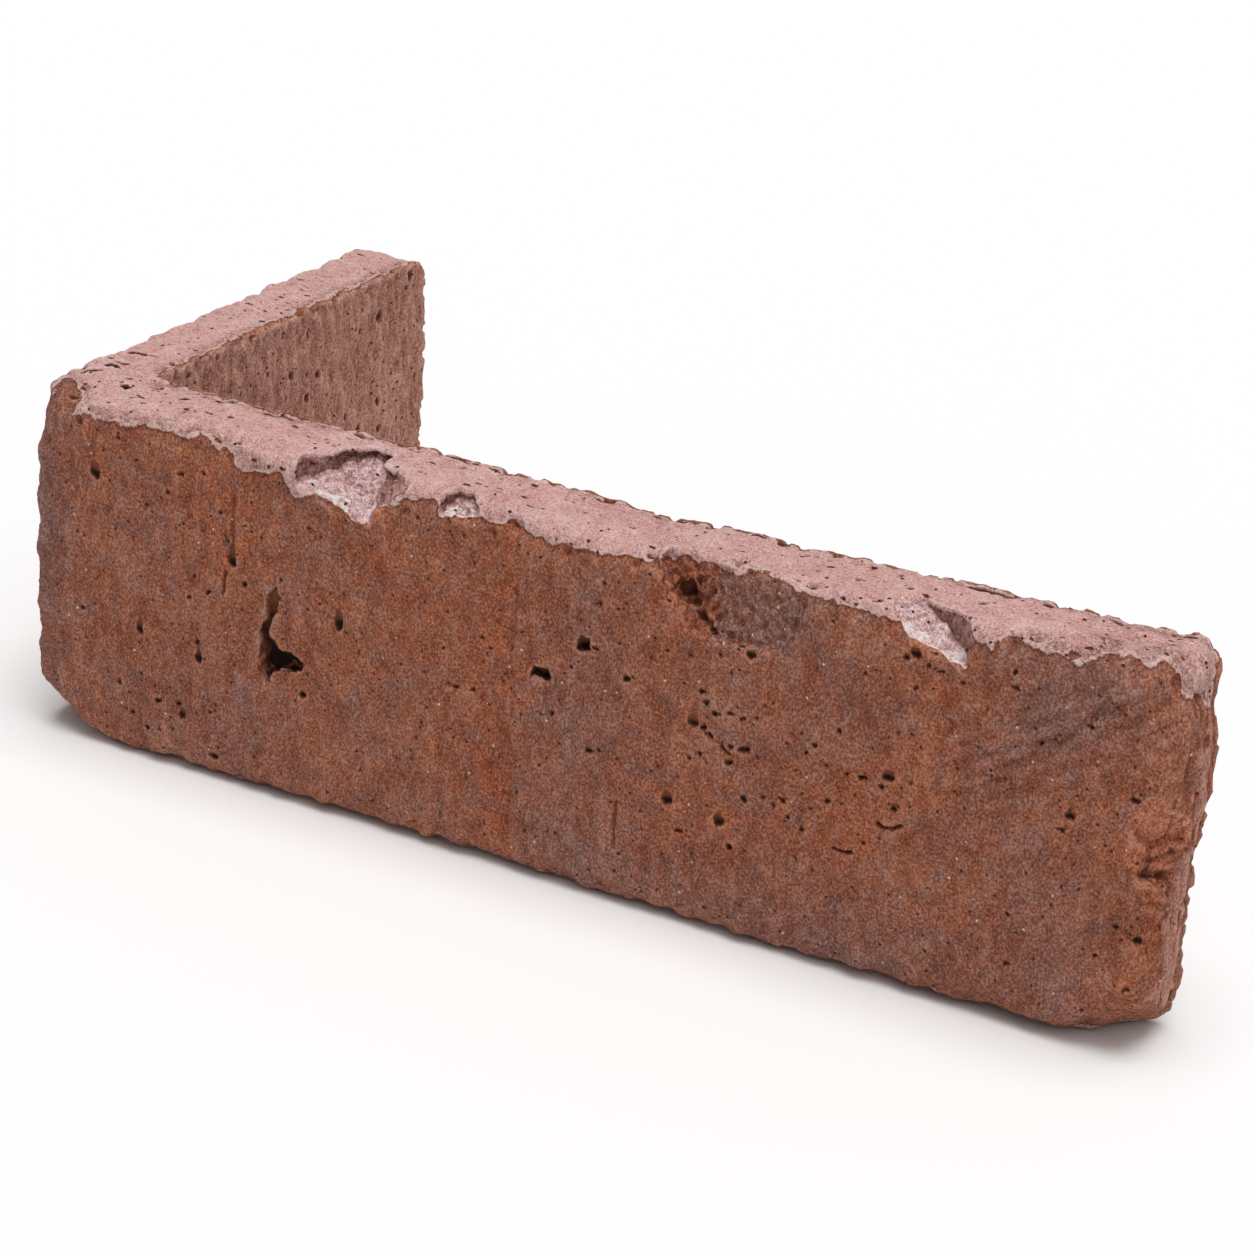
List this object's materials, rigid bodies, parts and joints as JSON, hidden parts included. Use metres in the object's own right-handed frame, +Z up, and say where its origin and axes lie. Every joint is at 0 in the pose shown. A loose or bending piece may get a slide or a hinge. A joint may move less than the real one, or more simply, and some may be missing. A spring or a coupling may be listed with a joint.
{
  "type": "corner brick slip",
  "caption": "L-shaped clay brick slip, sawn from a tumbled brick with worn arrises and knocked corners, that faces an outside wall corner as a whole brick would.",
  "frame": {"origin": "centre of the slip's box, on the lower bed face that it stands on", "axes": "+X along the stretcher face from the outer corner to the free end, +Y from the stretcher face back along the header face, +Z up through the height of the brick"},
  "size_m": [0.215, 0.107, 0.0659],
  "materials": {
    "fired_clay": "matt fired clay, tumbled and sawn"
  },
  "bodies": {
    "root": {"corner_brick_slip": "fired_clay"}
  },
  "joints": []
}
